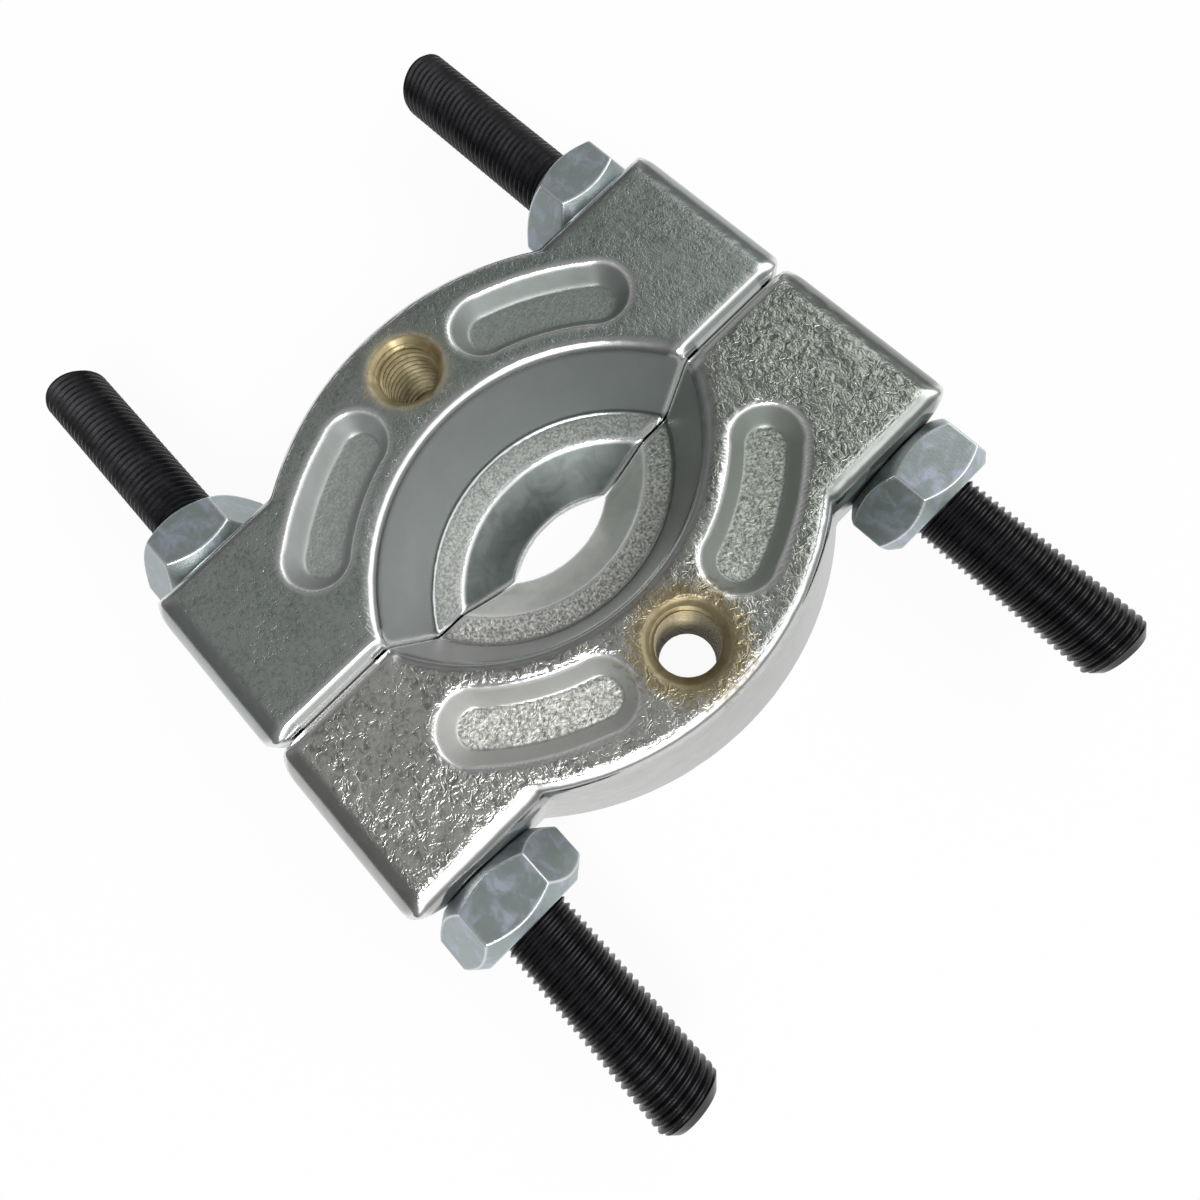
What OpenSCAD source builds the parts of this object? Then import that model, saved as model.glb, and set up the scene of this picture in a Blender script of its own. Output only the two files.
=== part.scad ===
// Bearing separator: two forged half-round jaws that slide along two threaded studs
// and are drawn together, or let apart, by a hexagon nut on each ear.
// X runs along the studs, Y along the split line and Z up from the bottom face.
// The origin lies under the middle of the studs.

/* [Studs] */
// Thread diameter of the two studs
stud_d = 14; // [12:0.5:16]
// Length of each stud
stud_l = 200; // [180:1:260]
// Distance between the two stud axes
stud_spacing = 111; // [106:0.5:120]
// Chamfer at each end of a stud
stud_chamfer = 2; // [0.5:0.1:2.5]
// Clearance of a stud in the bore of an ear, on the radius
bore_clearance = 0.25; // [0.1:0.05:0.6]

/* [Nuts] */
// Width of a nut across its flats
nut_af = 25; // [21:0.5:25]
// Thickness of a nut
nut_h = 13; // [11:0.5:15]
// Slope of the chamfers on a nut's corners, in degrees
nut_chamfer_angle = 40; // [25:1:42]
// Margin between a nut's flats and the round edge of its end faces
nut_face_margin = 1.8; // [0.2:0.1:2.2]
// Running clearance of a nut on its stud, on the radius
nut_clearance = 0.05; // [0.02:0.01:0.1]
// Depth of the countersink at each mouth of a nut
nut_sink = 0.6; // [0.3:0.1:1]
// Gap between a nut and the face that it bears on
nut_seat_gap = 0.1; // [0.05:0.05:0.3]
// Room between the corners of a turning nut and the shoulder beside it
nut_room = 0.4; // [0.3:0.1:2]
// Turn of the two nuts on the left stud, in degrees
left_nut_turn = -10; // [-30:1:30]
// Turn of the two nuts on the right stud, in degrees
right_nut_turn = 0; // [-30:1:30]

/* [Jaws] */
// Thickness of both jaws
jaw_t = 29; // [27:0.5:34]
// Place of the split line along the studs, from their middle
split_x = 5; // [-10:0.5:10]
// Gap between the closed jaws
split_gap = 0.3; // [0.1:0.05:1]
// Chamfer along the edges of the split faces
split_chamfer = 2; // [1:0.1:3]
// Depth of an ear, from the split line to the face under its nut
ear_depth = 41; // [38:0.5:46]
// Width of an ear outside its stud's axis
ear_margin = 14.25; // [12:0.25:18]
// Rounding of the outer long edges of the ears
ear_round = 8; // [4:0.5:10]
// Rounding of the upright corners of the ears
ear_corner = 7; // [2:0.5:7.5]
// Rounding of the top and bottom edges of the faces under the nuts
ear_end_round = 5; // [1:0.5:6]
// Reach of the round body past the faces under the nuts
body_bulge = 13.5; // [11:0.5:16]
// Radius of the hollow blend between the round body and an ear
shoulder_round = 3; // [2:0.5:6]
// Rounding of the top edge of the round body
body_top_round = 3; // [2:0.1:6]
// Rounding of the bottom edge of the round body
body_bottom_round = 2; // [1:0.5:4]
// Draft of the round body's wall, as its spread from top to bottom
body_draft = 4.7; // [1:0.1:6]

/* [Opening] */
// Distance of each half opening's axis behind the split line
opening_offset = 17.3; // [14:0.1:20]
// Radius of the upper wall at the rim
rim_r = 43; // [41:0.1:44]
// Rounding of the rim
rim_round = 2; // [1:0.1:3]
// Radius of the ledge's outer edge
ledge_r = 37.5; // [35:0.1:40]
// Width of the ledge
ledge_w = 6.1; // [4:0.1:8]
// Height of the ledge's outer edge above the bottom
ledge_z = 11.8; // [10:0.1:14]
// Fall of the ledge towards the middle
ledge_fall = 0.6; // [0:0.1:1.5]
// Radius of the gripping edge at the bottom
grip_r = 22.2; // [20:0.1:25]
// Height of the upright land at the gripping edge
grip_land = 2.5; // [1:0.1:4]

/* [Recesses] */
// Wall between the opening's upper wall and a recess
recess_wall = 4.9; // [4:0.1:7]
// Width of a recess at the top face
recess_w = 14.2; // [12:0.1:16]
// Depth of a recess
recess_depth = 4; // [2:0.1:6]
// Width that each sloping wall of a recess takes up
recess_slope = 3.2; // [1:0.1:4]
// Wall between a recess and the mouth of the pull hole
recess_hole_wall = 2.6; // [2:0.1:5]
// Angle of the outer end of a recess about the opening's axis, in degrees
recess_end_angle = 43; // [38:0.1:45]

/* [Pull holes] */
// Distance of a pull hole from the split line
pull_x = 39; // [37:0.1:41]
// Diameter of a pull hole's wall
pull_d = 12; // [9:0.1:13]
// Width of the countersink round a pull hole
pull_sink_w = 1.8; // [0.5:0.1:2.5]

/* [Hidden] */
$fn = 96;
// Overlap of a cut past the face that it opens
cut = 1;
stud_r = stud_d / 2;
stud_y = stud_spacing / 2;
stud_z = jaw_t / 2;
nut_corner_r = nut_af / 2 / cos(30);
nut_bore_r = stud_r + nut_clearance;
half_w = stud_y + ear_margin;
body_x = ear_depth + body_bulge;
// The shoulder blend ends short of the turning nut and touches ear face and body
shoulder_y = stud_y - nut_corner_r - nut_room;
body_r = (body_bulge ^ 2 + shoulder_y ^ 2) / (2 * body_bulge) - shoulder_round;
body_axis_x = body_x - body_r;
wall_h = jaw_t - body_top_round - body_bottom_round;
// The shoulder blend leans as the drafted wall does where the two meet
shoulder_lean = atan((body_r + shoulder_round) / shoulder_y * body_draft / wall_h);
// The hollow of the blend runs a little into the body, so their walls cross cleanly
shoulder_bite = 0.15;
recess_in_r = rim_r + recess_wall;
recess_mid_r = recess_in_r + recess_w / 2;
// The round ends of a recess are a little wider than its arc, so they cross its walls cleanly
recess_cap_r = recess_w / 2 + 0.1;
pull_r = pull_d / 2;
pull_sink_r = pull_r + pull_sink_w;
recess_start_angle = asin((pull_sink_r + recess_hole_wall + recess_cap_r) / recess_mid_r);
steel = [0.66, 0.68, 0.66];
zinc = [0.70, 0.73, 0.72];
black_oxide = [0.05, 0.05, 0.06];

// Rectangle from the origin with round corners
module round_rect(w, h, r) {
  translate([r, 0]) square([w - 2 * r, h]);
  translate([0, r]) square([w, h - 2 * r]);
  for (x = [r, w - r], y = [r, h - r]) translate([x, y]) circle(r);
}

// Section of the two ears across the studs, with round outer edges
module ear_section() {
  translate([-half_w, 0]) round_rect(2 * half_w, jaw_t, ear_round);
}

// Side view of an ear: square at the split, round at the face under the nut
module ear_side() {
  square([ear_depth / 2, jaw_t]);
  round_rect(ear_depth, jaw_t, ear_end_round);
}

// Bar that forms both ears of a jaw
module ear_bar() {
  intersection() {
    rotate([90, 0, 90]) linear_extrude(ear_depth) ear_section();
    translate([0, half_w, 0]) rotate([90, 0, 0]) linear_extrude(2 * half_w) ear_side();
    translate([0, -half_w, 0]) linear_extrude(jaw_t) round_rect(ear_depth, 2 * half_w, ear_corner);
  }
}

// Half section of the round body: drafted wall, round top and bottom edges
module body_section() {
  top_r = body_r - body_draft / 2;
  bottom_r = body_r + body_draft / 2;
  polygon([
    [0, 0],
    [bottom_r - body_bottom_round, 0],
    [bottom_r, body_bottom_round],
    [top_r, jaw_t - body_top_round],
    [top_r - body_top_round, jaw_t],
    [0, jaw_t]
  ]);
  translate([top_r - body_top_round, jaw_t - body_top_round]) circle(body_top_round);
  translate([bottom_r - body_bottom_round, body_bottom_round]) circle(body_bottom_round);
}

// Round body on one side of the split line
module round_body() {
  intersection() {
    translate([body_axis_x, 0, 0]) rotate_extrude() body_section();
    translate([0, -half_w, 0]) cube([body_x + body_draft, 2 * half_w, jaw_t]);
  }
}

// Hollow blend that leads the round body into the face under a nut
module shoulder_blend() {
  centre_x = ear_depth + shoulder_round;
  touch = body_r / (body_r + shoulder_round);
  touch_x = body_axis_x + (centre_x - body_axis_x) * touch;
  touch_y = shoulder_y * touch;
  translate([0, shoulder_y - shoulder_bite, stud_z]) rotate([shoulder_lean, 0, 0])
    linear_extrude(jaw_t - 2 * ear_end_round, center = true) difference() {
      polygon([
        [ear_depth - cut, 0],
        [ear_depth, 0],
        [centre_x, 0],
        [touch_x, touch_y - shoulder_y],
        [ear_depth - cut, touch_y - shoulder_y]
      ]);
      translate([centre_x, 0]) circle(shoulder_round);
    }
}

// Stepped half opening: upper wall, ledge, lower cone and gripping edge
module opening_cut() {
  ledge_in_r = ledge_r - ledge_w;
  rim_z = jaw_t - rim_round;
  translate([-opening_offset, 0, 0]) rotate_extrude() {
    polygon([
      [0, -cut],
      [grip_r, -cut],
      [grip_r, grip_land],
      [ledge_in_r, ledge_z - ledge_fall],
      [ledge_r, ledge_z],
      [rim_r, rim_z],
      [rim_r, jaw_t + cut],
      [0, jaw_t + cut]
    ]);
    difference() {
      translate([rim_r - cut, rim_z]) square([rim_round + cut, rim_round + cut]);
      translate([rim_r + rim_round, rim_z]) circle(rim_round);
    }
  }
}

// Arc-shaped recess with sloping walls, round ends and a flat floor
module recess_cut() {
  floor_z = jaw_t - recess_depth;
  slope_past_top = recess_slope * (recess_depth + cut) / recess_depth;
  translate([-opening_offset, 0, 0]) {
    rotate([0, 0, recess_start_angle]) rotate_extrude(angle = recess_end_angle - recess_start_angle)
      polygon([
        [recess_in_r + recess_slope, floor_z],
        [recess_in_r + recess_w - recess_slope, floor_z],
        [recess_in_r + recess_w - recess_slope + slope_past_top, jaw_t + cut],
        [recess_in_r + recess_slope - slope_past_top, jaw_t + cut]
      ]);
    for (a = [recess_start_angle, recess_end_angle])
      rotate([0, 0, a]) translate([recess_mid_r, 0, floor_z])
        cylinder(
          h = recess_depth + cut,
          r1 = recess_cap_r - recess_slope,
          r2 = recess_cap_r - recess_slope + slope_past_top
        );
  }
}

// Pull hole with a countersink at both mouths
module pull_hole_cut() {
  translate([pull_x, 0, -cut]) cylinder(h = jaw_t + 2 * cut, r = pull_r);
  translate([pull_x, 0, jaw_t - pull_sink_w])
    cylinder(h = pull_sink_w + cut, r1 = pull_r, r2 = pull_sink_r + cut);
  translate([pull_x, 0, -cut])
    cylinder(h = pull_sink_w + cut, r1 = pull_sink_r + cut, r2 = pull_r);
}

// Clearance bores for both studs
module stud_bores_cut() {
  for (y = [-stud_y, stud_y])
    translate([-cut, y, stud_z]) rotate([0, 90, 0])
      cylinder(h = ear_depth + 2 * cut, r = stud_r + bore_clearance);
}

// Space behind the split face, with the chamfers along its top and bottom edges
module split_cut() {
  face_x = split_gap / 2;
  rotate([90, 0, 0]) linear_extrude(2 * half_w + 2 * cut, center = true)
    polygon([
      [-cut, -cut],
      [face_x + split_chamfer + cut, -cut],
      [face_x, split_chamfer],
      [face_x, jaw_t - split_chamfer],
      [face_x + split_chamfer + cut, jaw_t + cut],
      [-cut, jaw_t + cut]
    ]);
}

// One jaw, on the +X side of a split line at x = 0
module jaw() {
  difference() {
    union() {
      ear_bar();
      round_body();
      shoulder_blend();
      mirror([0, 1, 0]) shoulder_blend();
    }
    split_cut();
    opening_cut();
    recess_cut();
    mirror([0, 1, 0]) recess_cut();
    pull_hole_cut();
    stud_bores_cut();
  }
}

// Plain stud along X with chamfered ends, at the height of the ears' bores
module stud(y) {
  shank_l = stud_l - 2 * stud_chamfer;
  translate([-stud_l / 2, y, stud_z]) rotate([0, 90, 0]) {
    cylinder(h = stud_chamfer, r1 = stud_r - stud_chamfer, r2 = stud_r);
    translate([0, 0, stud_chamfer]) cylinder(h = shank_l, r = stud_r);
    translate([0, 0, stud_chamfer + shank_l])
      cylinder(h = stud_chamfer, r1 = stud_r, r2 = stud_r - stud_chamfer);
  }
}

// Half section of a nut's blank: end faces with round edges and sloping chamfers
module nut_blank_section() {
  face_r = nut_af / 2 - nut_face_margin;
  blank_r = nut_corner_r + cut;
  chamfer_h = (blank_r - face_r) * tan(nut_chamfer_angle);
  polygon([
    [0, 0],
    [face_r, 0],
    [blank_r, chamfer_h],
    [blank_r, nut_h - chamfer_h],
    [face_r, nut_h],
    [0, nut_h]
  ]);
}

// Hexagon nut on the +X side of a split line at x = 0, with a flat face up before its turn
module nut(y, turn) {
  mouth_r = nut_bore_r + nut_sink;
  translate([ear_depth + nut_seat_gap, y, stud_z]) rotate([turn, 0, 0]) rotate([0, 90, 0])
    difference() {
      intersection() {
        rotate([0, 0, 30]) translate([0, 0, -cut])
          cylinder(h = nut_h + 2 * cut, r = nut_corner_r, $fn = 6);
        rotate_extrude() nut_blank_section();
      }
      translate([0, 0, -cut]) cylinder(h = nut_h + 2 * cut, r = nut_bore_r);
      translate([0, 0, -cut]) cylinder(h = nut_sink + cut, r1 = mouth_r + cut, r2 = nut_bore_r);
      translate([0, 0, nut_h - nut_sink])
        cylinder(h = nut_sink + cut, r1 = nut_bore_r, r2 = mouth_r + cut);
    }
}

// Sets a piece of the front side at the split line
module at_front() {
  translate([split_x, 0, 0]) children();
}

// Sets a piece of the rear side at the split line
module at_rear() {
  translate([split_x, 0, 0]) mirror([1, 0, 0]) children();
}

module front_jaw() { color(steel) at_front() jaw(); }
module rear_jaw() { color(steel) at_rear() jaw(); }
module left_stud() { color(black_oxide) stud(-stud_y); }
module right_stud() { color(black_oxide) stud(stud_y); }
module front_left_nut() { color(zinc) at_front() nut(-stud_y, left_nut_turn); }
module front_right_nut() { color(zinc) at_front() nut(stud_y, right_nut_turn); }
module rear_left_nut() { color(zinc) at_rear() nut(-stud_y, left_nut_turn); }
module rear_right_nut() { color(zinc) at_rear() nut(stud_y, right_nut_turn); }

front_jaw();
rear_jaw();
left_stud();
right_stud();
front_left_nut();
front_right_nut();
rear_left_nut();
rear_right_nut();
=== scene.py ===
"""Looks of a bearing separator: two zinc-plated jaws, two black studs and four plated nuts."""

import logging
import math
from contextlib import contextmanager
from dataclasses import dataclass
from enum import Enum
from typing import Callable, Iterator

import bpy
import numpy as np
from mathutils import Matrix, Vector


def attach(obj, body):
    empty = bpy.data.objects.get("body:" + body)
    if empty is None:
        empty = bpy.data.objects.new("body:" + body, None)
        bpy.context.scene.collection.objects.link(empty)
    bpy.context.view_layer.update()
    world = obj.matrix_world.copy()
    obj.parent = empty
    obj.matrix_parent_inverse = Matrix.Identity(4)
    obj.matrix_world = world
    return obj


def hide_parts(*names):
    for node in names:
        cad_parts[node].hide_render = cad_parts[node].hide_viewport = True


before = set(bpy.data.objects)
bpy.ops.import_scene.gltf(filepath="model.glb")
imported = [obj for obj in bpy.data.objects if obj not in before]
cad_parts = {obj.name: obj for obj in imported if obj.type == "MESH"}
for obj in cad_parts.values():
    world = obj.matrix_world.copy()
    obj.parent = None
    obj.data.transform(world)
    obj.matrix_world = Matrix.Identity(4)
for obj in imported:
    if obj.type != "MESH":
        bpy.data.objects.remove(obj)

LOG = logging.getLogger("bearing_separator")
MM = 0.001

Point = tuple[float, float, float]
Colour = tuple[float, float, float, float]
Steps = tuple[tuple[float, float], ...]


def ramp(value: float, none: float, full: float) -> float:
    """Go straight from 0 to 1 between two values.

    Args:
        value: The value to place between them.
        none: Value that gives 0.
        full: Value that gives 1.

    Returns:
        The share, from 0 to 1.
    """
    return min(1.0, max(0.0, (value - none) / (full - none)))


class Side(Enum):
    """Side of the split line that a jaw stands on."""

    FRONT = 1.0
    REAR = -1.0


class Zone(Enum):
    """Names of the vertex layers that tell a finish where on the piece it is."""

    WALL = "wall_zone"
    CONE = "cone_zone"
    GRIP = "grip_zone"
    LEDGE = "ledge_zone"
    SLOPE = "slope_zone"
    FLOOR = "floor_zone"
    EDGE = "edge_zone"
    THREAD = "thread_zone"


class Bench:
    """Thin wraps round the operators, so that each step acts on one piece alone."""

    @staticmethod
    def clear() -> None:
        """Leave edit mode and select nothing."""
        active = bpy.context.view_layer.objects.active
        if active is not None and active.mode != "OBJECT":
            bpy.ops.object.mode_set(mode="OBJECT")
        bpy.ops.object.select_all(action="DESELECT")

    @staticmethod
    def take(piece: bpy.types.Object) -> None:
        """Select one piece alone and make it active.

        Args:
            piece: The piece to work on.
        """
        Bench.clear()
        piece.select_set(True)
        bpy.context.view_layer.objects.active = piece

    @staticmethod
    @contextmanager
    def edit(piece: bpy.types.Object, everything: bool = True) -> Iterator[None]:
        """Open a piece in edit mode for the length of a with block.

        Args:
            piece: The piece to open.
            everything: True selects the whole mesh first, False selects none of it.

        Yields:
            Nothing; the mesh is open until the block ends.
        """
        Bench.take(piece)
        bpy.ops.object.mode_set(mode="EDIT")
        bpy.ops.mesh.select_all(action="SELECT" if everything else "DESELECT")
        yield
        bpy.ops.object.mode_set(mode="OBJECT")

    @staticmethod
    def modify(piece: bpy.types.Object, kind: str, **settings: object) -> None:
        """Put a modifier on a piece and apply it at once.

        Args:
            piece: The piece to change.
            kind: Blender's name for the modifier.
            settings: Values for the modifier's own fields.
        """
        Bench.take(piece)
        modifier = piece.modifiers.new(kind.lower(), kind)
        for field_name, value in settings.items():
            setattr(modifier, field_name, value)
        bpy.ops.object.modifier_apply(modifier=modifier.name)

    @staticmethod
    def copy_of_node(node: str, name: str) -> bpy.types.Object:
        """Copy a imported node's mesh into a new piece with its loose triangles joined.

        Args:
            node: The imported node.
            name: Name of the new piece.

        Returns:
            The new piece.
        """
        piece = bpy.data.objects.new(name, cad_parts[node].data.copy())
        bpy.context.scene.collection.objects.link(piece)
        piece.data.materials.clear()
        with Bench.edit(piece):
            bpy.ops.mesh.remove_doubles(threshold=0.002 * MM)
        return piece

    @staticmethod
    def mark_edges(piece: bpy.types.Object, flat: float, sharp: float, rounds: int) -> None:
        """Write the vertex layer of the sharp edges, which the finishes paint with a highlight: 1 on
        them, 0 on flats and in hollows.

        Args:
            piece: The piece to mark.
            flat: Bend that still counts as flat, in 1/m.
            sharp: Bend that counts as an edge, in 1/m.
            rounds: Times that the bend is evened out between neighbours.
        """
        mesh = piece.data
        total = len(mesh.vertices)
        place, normal = np.empty(total * 3), np.empty(total * 3)
        ends = np.empty(len(mesh.edges) * 2, dtype=np.int32)
        mesh.vertices.foreach_get("co", place)
        mesh.vertices.foreach_get("normal", normal)
        mesh.edges.foreach_get("vertices", ends)
        place, normal, ends = place.reshape(-1, 3), normal.reshape(-1, 3), ends.reshape(-1, 2)
        here, there = np.concatenate((ends, ends[:, ::-1])).T
        step = place[there] - place[here]
        fall = -(normal[here] * step).sum(axis=1) / (step * step).sum(axis=1)
        links = np.bincount(here, minlength=total)
        bend = np.bincount(here, fall, total) / links
        for _ in range(rounds):
            bend = 0.5 * (bend + np.bincount(here, bend[there], total) / links)
        layer = mesh.attributes.new(Zone.EDGE.value, "FLOAT", "POINT")
        layer.data.foreach_set("value", np.clip((bend - flat) / (sharp - flat), 0.0, 1.0))

    @staticmethod
    def set_down(piece: bpy.types.Object) -> None:
        """Move a piece's place and turn into its mesh."""
        Bench.take(piece)
        bpy.ops.object.transform_apply(location=True, rotation=True, scale=True)

    @staticmethod
    def hand_over(piece: bpy.types.Object, node: str, body: str, slot: str) -> None:
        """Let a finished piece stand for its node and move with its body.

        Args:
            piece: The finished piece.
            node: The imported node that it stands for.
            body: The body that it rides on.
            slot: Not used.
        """
        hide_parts(node)
        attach(piece, body)
        LOG.info("%s: %d faces", piece.name, len(piece.data.polygons))


class NodeSheet:
    """A material's node tree, with short calls for the nodes that the finishes share."""

    def __init__(self, name: str) -> None:
        """Start a material with one metal-ready shader on it.

        Args:
            name: Name of the material.
        """
        self.material = bpy.data.materials.new(name)
        self.material.use_nodes = True
        self.tree = self.material.node_tree
        self.shader = self.tree.nodes["Principled BSDF"]
        self.place = self.node("ShaderNodeTexCoord").outputs["Object"]

    def node(self, kind: str, **settings: object) -> bpy.types.Node:
        """Add a node and set its own fields.

        Args:
            kind: Blender's name for the node.
            settings: Values for the node's fields.

        Returns:
            The new node.
        """
        made = self.tree.nodes.new(kind)
        for field_name, value in settings.items():
            setattr(made, field_name, value)
        return made

    def join(self, socket: bpy.types.NodeSocket, value: object) -> None:
        """Link another node's output to a socket, or set the socket's own value.

        Args:
            socket: The socket to feed.
            value: An output to link, or a plain value.
        """
        if isinstance(value, bpy.types.NodeSocket):
            self.tree.links.new(value, socket)
        else:
            socket.default_value = value

    def noise(self, scale: float, detail: float = 3.0, roughness: float = 0.55,
              distortion: float = 0.0) -> bpy.types.NodeSocket:
        """Add a noise pattern on the piece's own coordinates.

        Args:
            scale: Features a metre.
            detail: Number of finer layers.
            roughness: Strength of the finer layers.
            distortion: Bend of the pattern.

        Returns:
            The noise value.
        """
        made = self.node("ShaderNodeTexNoise")
        self.join(made.inputs["Vector"], self.place)
        self.join(made.inputs["Scale"], scale)
        self.join(made.inputs["Detail"], detail)
        self.join(made.inputs["Roughness"], roughness)
        self.join(made.inputs["Distortion"], distortion)
        return made.outputs["Fac"]

    def cells(self, scale: float) -> bpy.types.NodeSocket:
        """Add a cell pattern on the piece's own coordinates.

        Args:
            scale: Cells a metre.

        Returns:
            The distance from a cell's middle.
        """
        made = self.node("ShaderNodeTexVoronoi")
        self.join(made.inputs["Vector"], self.place)
        self.join(made.inputs["Scale"], scale)
        return made.outputs["Distance"]

    def math(self, operation: str, first: object, second: object = 0.0,
             clamp: bool = False) -> bpy.types.NodeSocket:
        """Join two values by one step of arithmetic.

        Args:
            operation: Blender's name for the step.
            first: First value or output.
            second: Second value or output.
            clamp: True keeps the result from 0 to 1.

        Returns:
            The result.
        """
        made = self.node("ShaderNodeMath", operation=operation, use_clamp=clamp)
        self.join(made.inputs[0], first)
        self.join(made.inputs[1], second)
        return made.outputs[0]

    def span(self, value: bpy.types.NodeSocket, low: float, high: float,
             out_low: float = 0.0, out_high: float = 1.0) -> bpy.types.NodeSocket:
        """Spread part of a value's range over another range, with soft ends.

        Args:
            value: The output to spread.
            low: Value that gives out_low.
            high: Value that gives out_high.
            out_low: Result at and below low.
            out_high: Result at and above high.

        Returns:
            The spread value.
        """
        made = self.node("ShaderNodeMapRange", interpolation_type="SMOOTHSTEP")
        self.join(made.inputs["Value"], value)
        self.join(made.inputs["From Min"], low)
        self.join(made.inputs["From Max"], high)
        self.join(made.inputs["To Min"], out_low)
        self.join(made.inputs["To Max"], out_high)
        return made.outputs["Result"]

    def blend(self, factor: object, first: object, second: object) -> bpy.types.NodeSocket:
        """Mix two colours.

        Args:
            factor: Share of the second colour.
            first: First colour or output.
            second: Second colour or output.

        Returns:
            The mixed colour.
        """
        made = self.node("ShaderNodeMix", data_type="RGBA")
        self.join(made.inputs[0], factor)
        self.join(made.inputs[6], first)
        self.join(made.inputs[7], second)
        return made.outputs[2]

    def tint(self, colour: object, by: object) -> bpy.types.NodeSocket:
        """Multiply a colour by another one.

        Args:
            colour: Colour to tint.
            by: Colour that it is multiplied by.

        Returns:
            The tinted colour.
        """
        made = self.node("ShaderNodeMix", data_type="RGBA", blend_type="MULTIPLY", clamp_result=True)
        self.join(made.inputs[0], 1.0)
        self.join(made.inputs[6], colour)
        self.join(made.inputs[7], by)
        return made.outputs[2]

    def across(self, reach: float) -> bpy.types.NodeSocket:
        """Go from 0 to 1 across the jaws, from the left ear to the right one.

        Args:
            reach: Distance from the middle at which the ends are met.

        Returns:
            The share of the way.
        """
        made = self.node("ShaderNodeSeparateXYZ")
        self.join(made.inputs[0], self.place)
        return self.span(made.outputs["Y"], -reach, reach)

    def lerp(self, factor: object, first: object, second: object) -> bpy.types.NodeSocket:
        """Mix two numbers.

        Args:
            factor: Share of the second number.
            first: First number or output.
            second: Second number or output.

        Returns:
            The mixed number.
        """
        made = self.node("ShaderNodeMix", data_type="FLOAT")
        self.join(made.inputs[0], factor)
        self.join(made.inputs[2], first)
        self.join(made.inputs[3], second)
        return made.outputs[0]

    def layer(self, zone: Zone) -> bpy.types.NodeSocket:
        """Read one of a piece's vertex layers."""
        return self.node("ShaderNodeAttribute", attribute_name=zone.value).outputs["Fac"]

    def dress(self, colour: object, roughness: object, metallic: object,
              height: bpy.types.NodeSocket, relief: float) -> bpy.types.Material:
        """Feed the shader and hand the material over.

        Args:
            colour: Base colour.
            roughness: Roughness.
            metallic: Share of bare metal.
            height: Height of the surface relief, from 0 to 1.
            relief: Depth of that relief in metres.

        Returns:
            The finished material.
        """
        bump = self.node("ShaderNodeBump")
        self.join(bump.inputs["Strength"], 1.0)
        self.join(bump.inputs["Distance"], relief)
        self.join(bump.inputs["Height"], height)
        self.join(self.shader.inputs["Base Color"], colour)
        self.join(self.shader.inputs["Roughness"], roughness)
        self.join(self.shader.inputs["Metallic"], metallic)
        self.join(self.shader.inputs["Normal"], bump.outputs["Normal"])
        return self.material


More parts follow.
